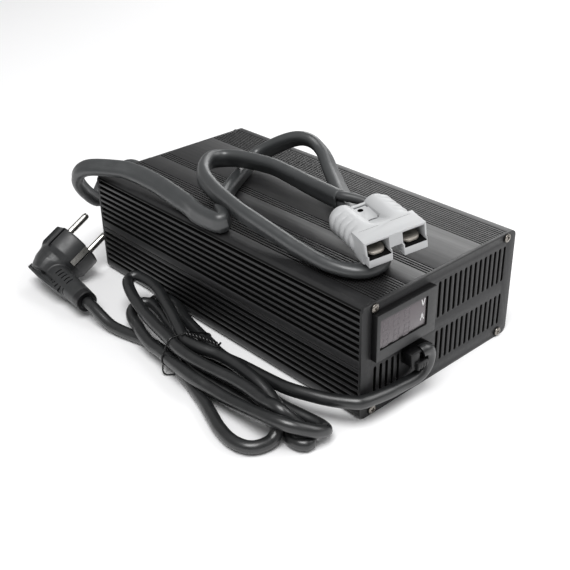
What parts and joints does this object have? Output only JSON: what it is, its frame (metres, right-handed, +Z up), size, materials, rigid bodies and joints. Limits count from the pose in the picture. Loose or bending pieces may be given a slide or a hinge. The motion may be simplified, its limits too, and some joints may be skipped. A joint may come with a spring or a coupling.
{
  "type": "battery charger",
  "caption": "Lithium battery charger: ribbed black aluminium case with slotted end panel, panel volt and ammeter, tied mains cord with plug, and output lead with two-pole battery connector.",
  "frame": {"origin": "centre of the case's footprint, on the surface it stands on", "axes": "+Z up, -Y out of the front panel with the meter, +X to the right seen from the front"},
  "size_m": [0.1997, 0.2949, 0.1026],
  "materials": {
    "anodised_black": "satin black anodised, fine brushed grain along the extrusion",
    "panel_grey": "fine satin dark grey powder coat",
    "screw_nickel": "nickel plated",
    "bezel_black": "satin moulded black",
    "window_tint": "dark red-violet tinted filter",
    "display_dark": "dark segments with two white unit letters",
    "board_green": "solder mask over glass fibre",
    "bushing_black": "moulded nylon",
    "cord_black": "satin black jacket",
    "tie_black": "glossy flat strip",
    "plug_grey_black": "satin black moulding",
    "pin_nickel": "nickel plated",
    "connector_grey": "light grey moulded polycarbonate",
    "contact_silver": "silver plated copper",
    "spring_steel": "bright",
    "sheet_paper": "insulating paper",
    "glass_ceramic": "sand-filled ceramic tube",
    "ferrite": "dark sintered ferrite",
    "copper_wire": "enamelled copper",
    "film_yellow": "yellow moulded case",
    "component_black": "epoxy moulding",
    "can_sleeve": "dark blue sleeve",
    "bare_aluminium": "mill finish",
    "tape_yellow": "insulating tape over copper",
    "relay_blue": "moulded case",
    "lead_red": "silicone insulation",
    "fan_black": "glass-filled plastic",
    "screw_black": "black oxide"
  },
  "bodies": {
    "case": {"upper_shell": "anodised_black", "lower_shell": "anodised_black", "front_panel": "panel_grey", "rear_panel": "panel_grey", "front_screws": "screw_nickel", "rear_screws": "screw_nickel", "meter_bezel": "bezel_black", "meter_window": "window_tint", "meter_display": "display_dark", "meter_board": "board_green", "mains_bushing": "bushing_black", "output_bushing": "bushing_black", "mains_cord": "cord_black", "mains_cord_hank": "cord_black", "mains_cord_loop": "cord_black", "mains_cord_end": "cord_black", "twist_tie": "tie_black", "plug_body": "plug_grey_black", "plug_pins": "pin_nickel", "plug_earth_clips": "pin_nickel", "output_lead": "cord_black", "output_conductors": "cord_black", "connector_shell": "connector_grey", "connector_contacts": "contact_silver", "connector_springs": "spring_steel", "main_board": "board_green", "insulating_sheet": "sheet_paper", "fuse": "glass_ceramic", "emi_choke_core": "ferrite", "emi_choke_winding": "copper_wire", "filter_capacitors": "film_yellow", "bridge_rectifier": "component_black", "bulk_capacitors": "can_sleeve", "primary_heatsink": "bare_aluminium", "primary_transistors": "component_black", "transformer_core": "ferrite", "transformer_winding": "tape_yellow", "output_choke_core": "ferrite", "output_choke_winding": "copper_wire", "output_heatsink": "bare_aluminium", "output_diodes": "component_black", "output_capacitors": "can_sleeve", "relay": "relay_blue", "control_board": "board_green", "mains_inner_lead": "cord_black", "output_inner_lead": "lead_red", "fan_frame": "fan_black", "fan_screws": "screw_black"},
    "rotor": {"fan_rotor": "fan_black", "fan_shaft": "spring_steel"}
  },
  "joints": [
    {"name": "fan_spin", "type": "hinge", "parent": "case", "child": "rotor", "pos_m": [0.025, 0.114, 0.0355], "axis": [0, 1, 0], "continuous": true}
  ]
}
